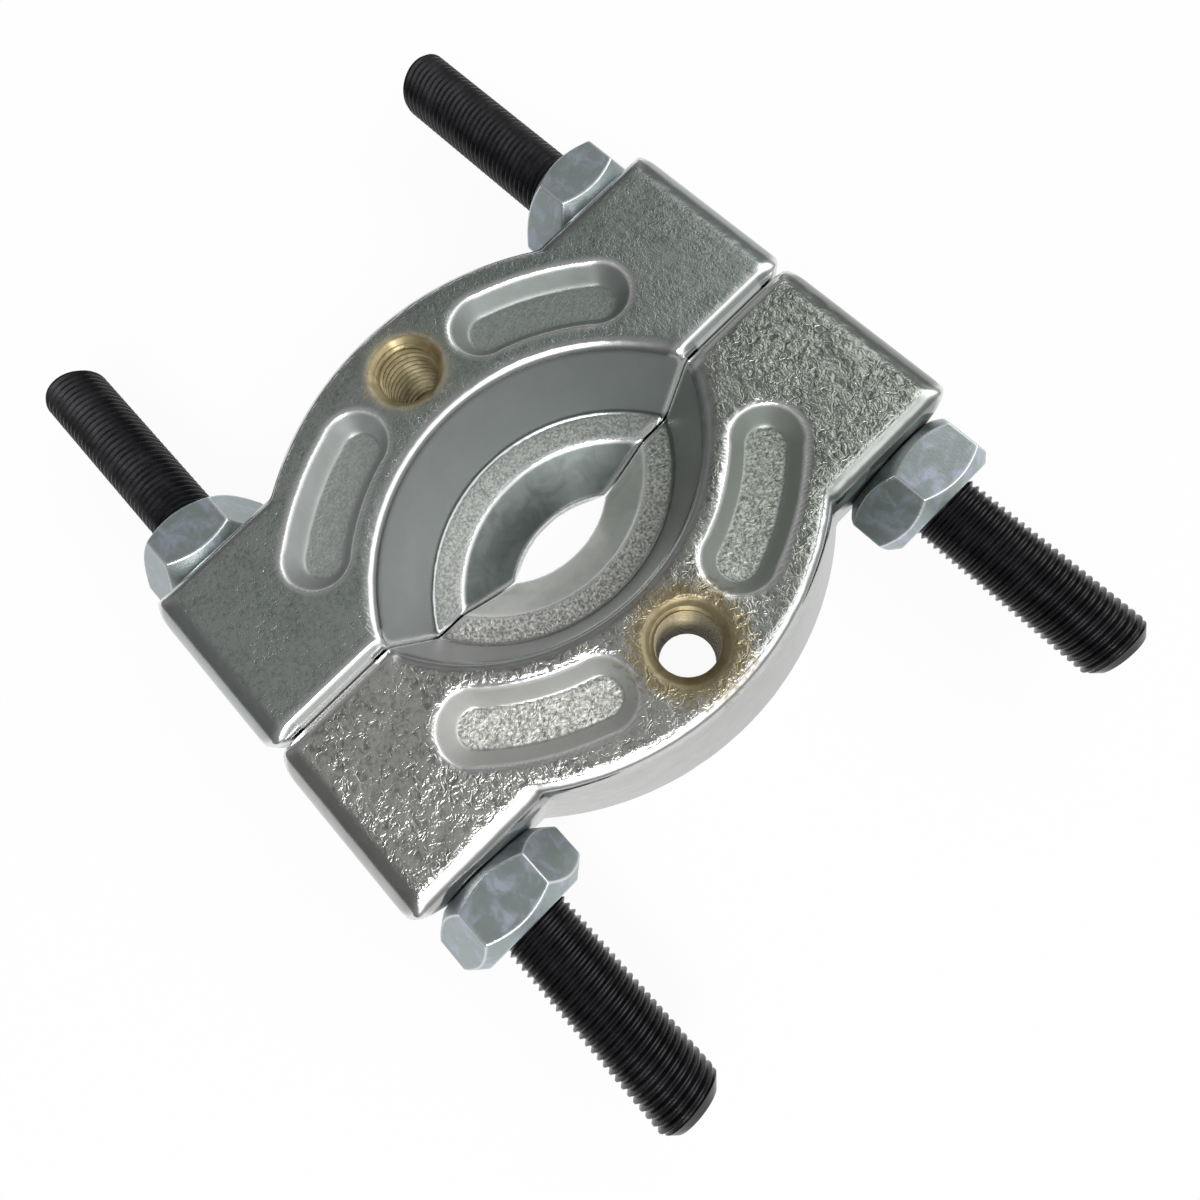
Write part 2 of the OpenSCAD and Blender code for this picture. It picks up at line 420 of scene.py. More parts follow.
@dataclass(frozen=True)
class JawFinish:
    """Zinc plate on a forged jaw, with the yellow tinge round its tapped hole.

    Attributes:
        name: Name of the material.
        pale: Colour of the pale patches and of the wrinkle crests, where it is a painted highlight.
        deep: Colour of the dull patches and of the wrinkle hollows, where it is painted shade.
        plain: Colour of the outer walls.
        cone: Colour of the opening's upper wall.
        grip: Colour of the slope down to the gripping edge, near white on the front jaw as painted light
            and near black on the rear jaw as painted shade down in the opening.
        ledge: Colour of the ledge.
        slope: Colour of the recess walls, set dark on the rear jaw as painted shade in its recesses.
        floor: Colour of the recess floors.
        left: Multiplier towards the left ear, above 1, that lightens the plate there as painted light.
        right: Multiplier towards the right ear, below 1, that darkens the plate there as painted shade
            and makes it greener.
        grain: Wrinkles a metre on the top face.
        crinkle: Depth of the wrinkles on the top face, from 0 to 1.
        grip_metal: Share of bare metal on the slope down to the gripping edge.
        brass: Paler colour of the yellow tinge.
        hole: Middle of the tapped hole on the plan.
        tinge_r: Reach of the yellow flecks about the tapped hole.
        tinge_fade: Width over which the tinge fades out.
        tinge_fray: How far the wrinkles fray its edge.
        stain: Deeper colour of the yellow tinge.
        edge_highlight: Pale colour laid along the sharp edges as a painted highlight.
        edge_highlight_share: Share of that painted highlight on a sharp edge.
        patches: Cloudy patches a metre.
        grit: Grit a metre on the ledge and the recess floors.
        tint_reach: Distance from the middle at which left and right are met.
        relief: Depth of the surface relief.
    """

    name: str
    pale: Colour
    deep: Colour
    plain: Colour
    cone: Colour
    grip: Colour
    ledge: Colour
    slope: Colour
    floor: Colour
    left: Colour
    right: Colour
    grain: float
    crinkle: float
    grip_metal: float
    brass: Colour
    hole: tuple[float, float]
    tinge_r: float
    tinge_fade: float = 4.0 * MM
    tinge_fray: float = 4.5 * MM
    stain: Colour = (0.22, 0.175, 0.085, 1.0)
    edge_highlight: Colour = (0.82, 0.83, 0.82, 1.0)
    edge_highlight_share: float = 0.85
    patches: float = 150.0
    grit: float = 1700.0
    tint_reach: float = 42.0 * MM
    relief: float = 0.42 * MM

    def make(self) -> bpy.types.Material:
        """Build the material.

        Returns:
            The plated finish.
        """
        sheet = NodeSheet(self.name)
        wall, cone, grip, ledge, slope, floor, edge, thread = (sheet.layer(zone) for zone in Zone)
        fine = sheet.noise(self.grain * 4.0, 3.0, 0.6)
        patch = sheet.noise(self.patches, 3.0, 0.6, 0.8)
        wrinkle = self.wrinkles(sheet)
        cloud = sheet.math("MULTIPLY", patch, 0.55)
        # Tone from the cloudy patches, a real unevenness of the plate, and from the wrinkle height,
        # which paints highlight on the crests and shade in the hollows.
        patch_tone_and_wrinkle_shading = sheet.math("ADD", cloud, sheet.math("MULTIPLY", wrinkle, 0.45))
        zinc = sheet.blend(sheet.span(patch_tone_and_wrinkle_shading, 0.3, 0.75), self.deep, self.pale)
        plain = sheet.blend(sheet.span(patch, 0.3, 0.7, 0.0, 0.35), self.plain, self.deep)
        zinc = sheet.blend(wall, zinc, plain)
        # The grip colour laid here is painted light on the front jaw and painted shade on the rear jaw.
        # The slope colour laid here is painted shade on the rear jaw's recess walls.
        for zone, tone in ((cone, self.cone), (grip, self.grip), (slope, self.slope)):
            clouded = sheet.blend(sheet.span(patch, 0.3, 0.7, 0.0, 0.3), tone, self.plain)
            zinc = sheet.blend(zone, zinc, clouded)
        grit = sheet.span(sheet.noise(self.grit, 3.0, 0.65), 0.34, 0.66, 0.1, 1.0)
        for zone, tone in ((ledge, self.ledge), (floor, self.floor)):
            zinc = sheet.blend(zone, zinc, sheet.blend(grit, self.deep, tone))
        # Painted light and shade across the jaw: lighter towards the left ear, darker and greener
        # towards the right.
        zinc = sheet.tint(zinc, sheet.blend(sheet.across(self.tint_reach), self.left, self.right))
        # Painted highlight: a pale colour along the sharp edges stands in for light caught on the
        # rounded edges.
        zinc = sheet.blend(sheet.math("MULTIPLY", edge, self.edge_highlight_share), zinc, self.edge_highlight)
        tinge = sheet.math("MAXIMUM", self.halo(sheet, wrinkle), thread)
        brass = sheet.blend(sheet.span(patch, 0.35, 0.65), self.stain, self.brass)
        colour = sheet.blend(tinge, zinc, brass)
        rough = sheet.span(wrinkle, 0.2, 0.9, 0.34, 0.2)
        for zone, amount in (
            (wall, 0.2), (cone, 0.4), (grip, 0.3), (ledge, 0.5), (slope, 0.38), (floor, 0.55),
            (edge, 0.16), (thread, 0.36),
        ):
            rough = sheet.lerp(zone, rough, amount)
        metal = sheet.lerp(cone, 1.0, 0.5)
        for zone, amount in (
            (slope, 0.45), (grip, self.grip_metal), (ledge, 0.65), (floor, 0.75), (tinge, 0.55),
        ):
            metal = sheet.lerp(zone, metal, amount)
        return sheet.dress(colour, rough, metal, self.height(sheet, wrinkle, fine), self.relief)

    def height(self, sheet: NodeSheet, wrinkle: bpy.types.NodeSocket,
               fine: bpy.types.NodeSocket) -> bpy.types.NodeSocket:
        """Lay the wrinkles on the free faces and leave walls, edges and threads smooth.

        Args:
            sheet: The material's nodes.
            wrinkle: Height of the wrinkles.
            fine: Fine noise for every face.

        Returns:
            Height of the surface relief, from 0 to 1.
        """
        wall, edge, thread = (sheet.layer(zone) for zone in (Zone.WALL, Zone.EDGE, Zone.THREAD))
        smooth = sheet.math("MAXIMUM", sheet.math("MAXIMUM", wall, thread), edge)
        free = sheet.math("SUBTRACT", 1.0, smooth, clamp=True)
        rugged = sheet.span(sheet.noise(90.0, 2.0, 0.5), 0.35, 0.6, 0.4, 1.0)
        top = sheet.math("MULTIPLY", sheet.math("MULTIPLY", wrinkle, rugged), self.crinkle)
        grain = sheet.math("MULTIPLY", fine, sheet.lerp(free, 0.008, 0.2))
        return sheet.math("ADD", sheet.math("MULTIPLY", top, free), grain)

    def wrinkles(self, sheet: NodeSheet) -> bpy.types.NodeSocket:
        """Worm-like wrinkles of the forged skin: crests of a bent noise, broken by pits.

        Args:
            sheet: The material's nodes.

        Returns:
            Height of the wrinkles, from 0 to 1.
        """
        bent = sheet.noise(self.grain, 2.0, 0.5, 0.9)
        off_crest = sheet.math("SUBTRACT", bent, 0.5)
        away = sheet.math("ABSOLUTE", sheet.math("MULTIPLY", off_crest, 4.5))
        crest = sheet.math("SUBTRACT", 1.0, away, clamp=True)
        pits = sheet.math("MULTIPLY", sheet.cells(self.grain * 1.3), 0.6, clamp=True)
        return sheet.math("ADD", sheet.math("MULTIPLY", crest, 0.65), pits, clamp=True)

    def halo(self, sheet: NodeSheet, wrinkle: bpy.types.NodeSocket) -> bpy.types.NodeSocket:
        """Ring of yellow tinge round the tapped hole, with a ragged edge.

        Args:
            sheet: The material's nodes.
            wrinkle: Height of the wrinkles, which fray the ring.

        Returns:
            Strength of the tinge.
        """
        apart = sheet.node("ShaderNodeVectorMath", operation="SUBTRACT")
        sheet.join(apart.inputs[0], sheet.place)
        apart.inputs[1].default_value = (self.hole[0], self.hole[1], 0.0)
        flat = sheet.node("ShaderNodeVectorMath", operation="MULTIPLY")
        sheet.join(flat.inputs[0], apart.outputs[0])
        flat.inputs[1].default_value = (1.0, 1.0, 0.0)
        far = sheet.node("ShaderNodeVectorMath", operation="LENGTH")
        sheet.join(far.inputs[0], flat.outputs[0])
        fray = sheet.math("MULTIPLY", wrinkle, self.tinge_fray)
        frayed = sheet.math("ADD", far.outputs["Value"], fray)
        return sheet.span(frayed, self.tinge_r - self.tinge_fade, self.tinge_r, 0.95, 0.0)


@dataclass(frozen=True)
class NutFinish:
    """Satin zinc plate on the nuts.

    Attributes:
        name: Name of the material.
        pale: Colour of the fresh plate.
        deep: Colour of the duller patches.
        edge_highlight: Pale colour laid along the sharp edges as a painted highlight.
        edge_highlight_share: Share of that painted highlight on a sharp edge.
        metal: Share of bare metal.
        relief: Depth of the surface relief.
    """

    name: str = "satin_zinc"
    pale: Colour = (0.44, 0.49, 0.58, 1.0)
    deep: Colour = (0.32, 0.375, 0.365, 1.0)
    edge_highlight: Colour = (0.8, 0.82, 0.83, 1.0)
    edge_highlight_share: float = 0.8
    metal: float = 0.8
    relief: float = 0.03 * MM

    def make(self) -> bpy.types.Material:
        """Build the material.

        Returns:
            The satin plate.
        """
        sheet = NodeSheet(self.name)
        edge = sheet.layer(Zone.EDGE)
        patch = sheet.noise(240.0, 4.0, 0.6, 0.6)
        fine = sheet.noise(2200.0, 3.0)
        colour = sheet.blend(sheet.span(patch, 0.42, 0.68), self.deep, self.pale)
        # Painted highlight along the nut's sharp edges.
        colour = sheet.blend(sheet.math("MULTIPLY", edge, self.edge_highlight_share), colour, self.edge_highlight)
        rough = sheet.lerp(edge, sheet.span(patch, 0.3, 0.7, 0.3, 0.42), 0.2)
        return sheet.dress(colour, rough, self.metal, fine, self.relief)


@dataclass(frozen=True)
class StudFinish:
    """Oiled black oxide on the studs.

    Attributes:
        name: Name of the material.
        black: Colour of the oxide.
        worn: Colour of the worn patches.
        metal: Share of bare metal.
        relief: Depth of the surface relief.
    """

    name: str = "black_oxide"
    black: Colour = (0.010, 0.010, 0.012, 1.0)
    worn: Colour = (0.022, 0.022, 0.025, 1.0)
    metal: float = 0.4
    relief: float = 0.02 * MM

    def make(self) -> bpy.types.Material:
        """Build the material.

        Returns:
            The black finish.
        """
        sheet = NodeSheet(self.name)
        patch = sheet.noise(260.0, 4.0, 0.6)
        fine = sheet.noise(2600.0, 2.0)
        colour = sheet.blend(sheet.span(patch, 0.45, 0.75), self.black, self.worn)
        rough = sheet.span(patch, 0.3, 0.7, 0.2, 0.34)
        return sheet.dress(colour, rough, self.metal, fine, self.relief)


@dataclass
class Thread:
    """A screw thread along X, made by winding one turn's profile.

    Attributes:
        crest_r: Radius over the crests.
        root_r: Radius at the roots.
        pitch: Advance of one turn.
        steps: Faces round one turn.
        profile: Root, flank, crest and flank, each as shares of the pitch and of the rise.
        spare: Turns wound past each end before the ends are cut flat.
    """

    crest_r: float
    root_r: float
    pitch: float = 1.5 * MM
    steps: int = 32
    profile: tuple[tuple[float, float], ...] = ((0.2, 0.0), (0.325, 1.0), (0.15, 0.0), (0.325, -1.0))
    spare: int = 2

    def wind(self, name: str, low: float, high: float) -> bpy.types.Object:
        """Wind the thread about the X axis and close it with flat ends.

        Args:
            name: Name of the new piece.
            low: X of one end.
            high: X of the other end.

        Returns:
            A closed threaded rod about the X axis.
        """
        turns = math.ceil((high - low) / self.pitch) + self.spare + 1
        rise = self.crest_r - self.root_r
        Bench.clear()
        bpy.ops.mesh.primitive_plane_add(size=MM)
        rod = bpy.context.active_object
        rod.name = name
        with Bench.edit(rod):
            bpy.ops.mesh.merge(type="CENTER")
            start = (low - self.spare * self.pitch, 0.0, self.root_r)
            bpy.ops.transform.translate(value=start)
            for along, up in self.profile:
                step = (along * self.pitch, 0.0, up * rise)
                bpy.ops.mesh.extrude_region_move(TRANSFORM_OT_translate={"value": step})
        Bench.modify(
            rod, "SCREW", axis="X", angle=math.tau, screw_offset=self.pitch, iterations=turns,
            steps=self.steps, render_steps=self.steps, use_merge_vertices=True,
            merge_threshold=0.001 * MM,
        )
        for x, outward in ((low, -1.0), (high, 1.0)):
            with Bench.edit(rod):
                bpy.ops.mesh.bisect(
                    plane_co=(x, 0.0, 0.0), plane_no=(outward, 0.0, 0.0), use_fill=True,
                    clear_outer=True, threshold=0.0001 * MM,
                )
        with Bench.edit(rod):
            bpy.ops.mesh.remove_doubles(threshold=0.0005 * MM)
            bpy.ops.mesh.normals_make_consistent(inside=False)
        return rod


@dataclass
class Stud:
    """One threaded stud with chamfered ends.

    Attributes:
        name: Name of the piece.
        node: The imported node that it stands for.
        y: Place of its axis across the jaws.
        z: Height of its axis.
        radius: Radius over the crests.
        length: Length of the stud.
        chamfer: Chamfer at each end.
        thread_depth: Depth of the thread.
        crest_gap: How far the crests stay inside the radius.
        blank_gap: How far the blank stands outside it.
        blank_sides: Faces round the blank.
        smooth_deg: Angle up to which faces are shaded as one.
    """

    name: str
    node: str
    y: float
    z: float = 14.5 * MM
    radius: float = 7.0 * MM
    length: float = 200.0 * MM
    chamfer: float = 2.0 * MM
    thread_depth: float = 0.68 * MM
    crest_gap: float = 0.01 * MM
    blank_gap: float = 0.05 * MM
    blank_sides: int = 96
    smooth_deg: float = 24.0

    def build(self) -> bpy.types.Object:
        """Wind the thread and turn the chamfers on its ends.

        Returns:
            The threaded stud.
        """
        half = self.length / 2.0
        thread = Thread(self.radius - self.crest_gap, self.radius - self.thread_depth)
        rod = thread.wind(self.name, -half, half)
        blank = self.blank()
        Bench.modify(rod, "BOOLEAN", operation="INTERSECT", solver="EXACT", object=blank)
        bpy.data.objects.remove(blank)
        rod.location = (0.0, self.y, self.z)
        Bench.set_down(rod)
        Bench.take(rod)
        bpy.ops.object.shade_smooth_by_angle(angle=math.radians(self.smooth_deg))
        return rod

    def blank(self) -> bpy.types.Object:
        """Turn the chamfered bar that the thread is cut from.

        Returns:
            A plain bar about the X axis.
        """
        Bench.clear()
        bpy.ops.mesh.primitive_cylinder_add(
            vertices=self.blank_sides, radius=self.radius + self.blank_gap, depth=self.length,
            rotation=(0.0, math.pi / 2.0, 0.0),
        )
        bar = bpy.context.active_object
        Bench.set_down(bar)
        with Bench.edit(bar, everything=False):
            bpy.ops.mesh.select_mode(type="FACE")
            bpy.ops.object.mode_set(mode="OBJECT")
            for face in bar.data.polygons:
                face.select = abs(face.normal.x) > 0.9
            bpy.ops.object.mode_set(mode="EDIT")
            bpy.ops.mesh.bevel(offset=self.chamfer, segments=1, affect="EDGES")
            bpy.ops.mesh.select_mode(type="VERT")
        return bar

    def dress(self, finish: bpy.types.Material) -> None:
        """Build the stud, give it its finish and hand it over.

        Args:
            finish: The black finish.
        """
        rod = self.build()
        rod.data.materials.append(finish)
        Bench.hand_over(rod, self.node, "studs", "stud")


@dataclass
class Nut:
    """One plated hexagon nut.

    Attributes:
        name: Name of the piece.
        node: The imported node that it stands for, which is also its body.
        cell: Size of the mesh cells.
        wear: Rounds of smoothing that wear the edges.
        flat: Bend that still counts as flat, in 1/m.
        sharp: Bend that counts as an edge, in 1/m.
        smooth_deg: Angle up to which faces are shaded as one.
    """

    name: str
    node: str
    cell: float = 0.24 * MM
    wear: int = 4
    flat: float = 120.0
    sharp: float = 450.0
    smooth_deg: float = 50.0

    def build(self) -> bpy.types.Object:
        """Copy the node and wear its edges round.

        Returns:
            The nut.
        """
        nut = Bench.copy_of_node(self.node, self.name)
        Bench.modify(nut, "REMESH", mode="VOXEL", voxel_size=self.cell, adaptivity=0.0)
        Bench.modify(nut, "SMOOTH", factor=0.5, iterations=self.wear)
        Bench.mark_edges(nut, self.flat, self.sharp, rounds=1)
        Bench.take(nut)
        bpy.ops.object.shade_smooth_by_angle(angle=math.radians(self.smooth_deg))
        return nut

    def dress(self, finish: bpy.types.Material) -> None:
        """Build the nut, give it its finish and hand it over.

        Args:
            finish: The satin plate.
        """
        nut = self.build()
        nut.data.materials.append(finish)
        Bench.hand_over(nut, self.node, self.node, "nut")


@dataclass
class Jaw:
    """One forged jaw with its stepped half opening, recesses and tapped hole.

    Attributes:
        name: Name of the piece.
        node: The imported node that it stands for, which is also its body.
        side: Side of the split line.
        relief: Depth of the forged unevenness on the free faces.
        grain: Width of that unevenness.
        cell: Size of the mesh cells.
        split_x: Place of the split line along the studs.
        opening_offset: Distance of the opening's axis behind the split line.
        rim_r: Radius of the upper wall at the rim.
        ledge_r: Radius of the ledge's outer edge.
        ledge_w: Width of the ledge.
        ledge_z: Height of the ledge.
        top_z: Height of the top face.
        recess_z: Height of the recess floors.
        recess_r: Inner and outer reach of the recesses about the opening's axis.
        pull_x: Distance of the tapped hole from the split line.
        pull_r: Radius of the tapped hole at its core.
        stud_y: Place of a stud's axis across the jaws.
        stud_z: Height of a stud's axis.
        stud_clear: Radius about a stud's axis that stays even.
        split_clear: Distance from the split line that stays even.
        bottom_clear: Height over the bottom that stays even.
        nut_seat: Distance of the nuts' seats from the split line.
        nut_reach: Half of the width of a nut's seat.
        mouth_r: Radius round the tapped hole that holds its countersunk mouth.
        thread_r: Radius up to which the thread's yellow colour fades.
        thread_fade: Width over which it fades.
        tap_depth: Depth of the thread in the tapped hole.
        tap_run: How far the tap runs past each face.
        wear: Rounds of smoothing that wear the edges.
        rim_wear: Rounds of smoothing that wear the rim of the opening.
        rim_reach: Distance from the rim that is worn, on the plan.
        rim_depth: Distance below the top that is worn.
        flat: Bend that still counts as flat, in 1/m.
        sharp: Bend that counts as an edge, in 1/m.
        smooth_deg: Angle up to which faces are shaded as one.
    """

    name: str
    node: str
    side: Side
    relief: float
    grain: float
    cell: float = 0.59 * MM
    split_x: float = 5.0 * MM
    opening_offset: float = 17.3 * MM
    rim_r: float = 43.0 * MM
    ledge_r: float = 37.5 * MM
    ledge_w: float = 6.1 * MM
    ledge_z: float = 11.8 * MM
    top_z: float = 29.0 * MM
    recess_z: float = 25.0 * MM
    recess_r: tuple[float, float] = (46.6 * MM, 63.4 * MM)
    pull_x: float = 39.0 * MM
    pull_r: float = 6.0 * MM
    stud_y: float = 55.5 * MM
    stud_z: float = 14.5 * MM
    stud_clear: float = 8.0 * MM
    split_clear: float = 2.6 * MM
    bottom_clear: float = 1.0 * MM
    nut_seat: float = 38.5 * MM
    nut_reach: float = 14.0 * MM
    mouth_r: float = 9.4 * MM
    thread_r: float = 8.7 * MM
    thread_fade: float = 0.8 * MM
    tap_depth: float = 0.85 * MM
    tap_run: float = 3.0 * MM
    wear: int = 3
    rim_wear: int = 60
    rim_reach: float = 4.6 * MM
    rim_depth: float = 6.0 * MM
    flat: float = 34.0
    sharp: float = 120.0
    smooth_deg: float = 40.0

    @property
    def opening_x(self) -> float:
        """X of the opening's axis."""
        return self.split_x - self.side.value * self.opening_offset

    @property
    def hole(self) -> tuple[float, float]:
        """Middle of the tapped hole on the plan."""
        return (self.split_x + self.side.value * self.pull_x, 0.0)

    def build(self) -> bpy.types.Object:
        """Soften the forged edges, roughen the free faces and tap the hole.

        Returns:
            The jaw.
        """
        jaw = Bench.copy_of_node(self.node, self.name)
        Bench.modify(jaw, "REMESH", mode="VOXEL", voxel_size=self.cell, adaptivity=0.0)
        Bench.modify(jaw, "SMOOTH", factor=0.5, iterations=self.wear)
        self.wear_rim(jaw)
        Bench.mark_edges(jaw, self.flat, self.sharp, rounds=5)
        self.mark_zones(jaw)
        self.roughen(jaw)
        self.tap(jaw)
        self.mark_zone(jaw, Zone.THREAD, self.thread_share)
        Bench.take(jaw)
        bpy.ops.object.shade_smooth_by_angle(angle=math.radians(self.smooth_deg))
        return jaw

    def wear_rim(self, jaw: bpy.types.Object) -> None:
        """Wear the rim of the opening rounder than the mesh leaves it.

        Args:
            jaw: The jaw's mesh.
        """
        group = jaw.vertex_groups.new(name="rim")
        for vertex in jaw.data.vertices:
            beside = abs(self.open_r(vertex.co) - self.rim_r) < self.rim_reach
            high = vertex.co.z > self.top_z - self.rim_depth
            if beside and high and self.from_split(vertex.co) > self.split_clear:
                group.add([vertex.index], 1.0, "REPLACE")
        Bench.modify(jaw, "SMOOTH", factor=0.5, iterations=self.rim_wear, vertex_group="rim")
        jaw.vertex_groups.clear()

    def roughen(self, jaw: bpy.types.Object) -> None:
        """Push the free faces in and out by the forged unevenness.

        Args:
            jaw: The jaw's mesh.
        """
        group = jaw.vertex_groups.new(name="free_faces")
        for vertex in jaw.data.vertices:
            group.add([vertex.index], self.freedom(vertex.co, vertex.normal), "REPLACE")
        waves = bpy.data.textures.new(self.name + "_waves", "CLOUDS")
        waves.noise_scale = self.grain
        waves.noise_depth = 2
        Bench.modify(
            jaw, "DISPLACE", texture=waves, texture_coords="LOCAL", strength=self.relief,
            mid_level=0.5, vertex_group="free_faces",
        )
        jaw.vertex_groups.clear()

    def freedom(self, place: Vector, normal: Vector) -> float:
        """Tell how far a point may carry the forged unevenness.

        Args:
            place: The point.
            normal: Its direction outwards.

        Returns:
            1 on the open top, 0 on faces that meet other pieces.
        """
        from_split = self.from_split(place)
        if place.z < self.bottom_clear or from_split < self.split_clear:
            return 0.0
        if self.hole_r(place) < self.pull_r + 0.8 * MM:
            return 0.0
        if abs(place.y) > self.stud_y - self.nut_reach and from_split > self.nut_seat and normal.z < 0.8:
            return 0.0
        if math.hypot(abs(place.y) - self.stud_y, place.z - self.stud_z) < self.stud_clear:
            return 0.0
        if self.open_r(place) < self.rim_r and place.z < self.top_z - 2.5 * MM:
            return 0.1
        return max(0.1, (normal.z - 0.85) / 0.15)

    def tap(self, jaw: bpy.types.Object) -> None:
        """Cut the thread of the pull hole.

        Args:
            jaw: The jaw's mesh.
        """
        thread = Thread(self.pull_r + self.tap_depth, self.pull_r - 0.02 * MM)
        tap = thread.wind("tap", -self.tap_run, self.top_z + self.tap_run)
        tap.rotation_euler = (0.0, -math.pi / 2.0, 0.0)
        tap.location = (self.hole[0], self.hole[1], 0.0)
        Bench.set_down(tap)
        Bench.modify(jaw, "BOOLEAN", operation="DIFFERENCE", solver="EXACT", object=tap)
        bpy.data.objects.remove(tap)

    def mark_zones(self, jaw: bpy.types.Object) -> None:
        """Write the vertex layers of the forged faces.

        Args:
            jaw: The jaw's mesh, still without its thread.
        """
        tests: dict[Zone, Callable[[Vector, Vector], float]] = {
            Zone.WALL: self.wall_share,
            Zone.CONE: self.cone_share,
            Zone.GRIP: self.grip_share,
            Zone.LEDGE: self.ledge_share,
            Zone.SLOPE: self.slope_share,
            Zone.FLOOR: self.floor_share,
        }
        for zone, test in tests.items():
            self.mark_zone(jaw, zone, test)

    @staticmethod
    def mark_zone(jaw: bpy.types.Object, zone: Zone, test: Callable[[Vector, Vector], float]) -> None:
        """Write one vertex layer.

        Args:
            jaw: The jaw's mesh.
            zone: The layer to write.
            test: Gives the layer's value from a point's place and normal.
        """
        layer = jaw.data.attributes.new(zone.value, "FLOAT", "POINT")
        layer.data.foreach_set("value", [test(vertex.co, vertex.normal) for vertex in jaw.data.vertices])

    def open_r(self, place: Vector) -> float:
        """Distance of a point from the opening's axis."""
        return math.hypot(place.x - self.opening_x, place.y)

    def hole_r(self, place: Vector) -> float:
        """Distance of a point from the tapped hole's axis."""
        return math.hypot(place.x - self.hole[0], place.y)

    def from_split(self, place: Vector) -> float:
        """Distance of a point from the split line."""
        return self.side.value * (place.x - self.split_x)

    def faces_opening(self, place: Vector, normal: Vector) -> bool:
        """Tell whether a face looks towards the opening's axis."""
        inward = (self.opening_x - place.x) * normal.x - place.y * normal.y
        return inward > 0.3 * self.open_r(place)

    def wall_share(self, place: Vector, normal: Vector) -> float:
        """Share of smooth, upright or sloping wall at a point."""
        return ramp(normal.z, 0.995, 0.955)

    def cone_share(self, place: Vector, normal: Vector) -> float:
        """Share of the opening's upper wall at a point, without the rim's rounding.

        Args:
            place: The point.
            normal: Its direction outwards.

        Returns:
            The share, from 0 to 1.
        """
        if self.open_r(place) > self.rim_r + 1.0 * MM or not self.faces_opening(place, normal):
            return 0.0
        above_ledge = ramp(place.z - self.ledge_z, 0.4 * MM, 1.4 * MM)
        return above_ledge * ramp(normal.z, 0.5, 0.36)

    def grip_share(self, place: Vector, normal: Vector) -> float:
        """Share of the slope down to the gripping edge at a point.

        Args:
            place: The point.
            normal: Its direction outwards.

        Returns:
            The share, from 0 to 1.
        """
        if self.open_r(place) > self.ledge_r - self.ledge_w + 0.6 * MM or place.z < 0.5 * MM:
            return 0.0
        return 1.0 if self.faces_opening(place, normal) else 0.0

    def ledge_share(self, place: Vector, normal: Vector) -> float:
        """Share of the rough ledge at a point.

        Args:
            place: The point.
            normal: Its direction outwards.

        Returns:
            The share, from 0 to 1.
        """
        if self.open_r(place) > self.ledge_r + 0.4 * MM or abs(place.z - self.ledge_z) > 1.6 * MM:
            return 0.0
        return ramp(normal.z, 0.9, 0.98)

    def slope_share(self, place: Vector, normal: Vector) -> float:
        """Share of sloping recess wall at a point.

        Args:
            place: The point.
            normal: Its direction outwards.

        Returns:
            The share, from 0 to 1.
        """
        inner, outer = self.recess_r
        if not inner <= self.open_r(place) <= outer or self.hole_r(place) < self.mouth_r:
            return 0.0
        if place.z < self.recess_z - 0.4 * MM:
            return 0.0
        return ramp(normal.z, 0.93, 0.83)

    def floor_share(self, place: Vector, normal: Vector) -> float:
        """Share of rough recess floor at a point.

        Args:
            place: The point.
            normal: Its direction outwards.

        Returns:
            The share, from 0 to 1.
        """
        if abs(place.z - self.recess_z) > 0.8 * MM:
            return 0.0
        return ramp(normal.z, 0.9, 0.98)

    def thread_share(self, place: Vector, normal: Vector) -> float:
        """Share of bare thread at a point."""
        return ramp(self.hole_r(place), self.thread_r, self.thread_r - self.thread_fade)

    def dress(self, finish: bpy.types.Material) -> None:
        """Build the jaw, give it its finish and hand it over.

        Args:
            finish: The plated finish.
        """
        jaw = self.build()
        jaw.data.materials.append(finish)
        Bench.hand_over(jaw, self.node, self.node, self.node)


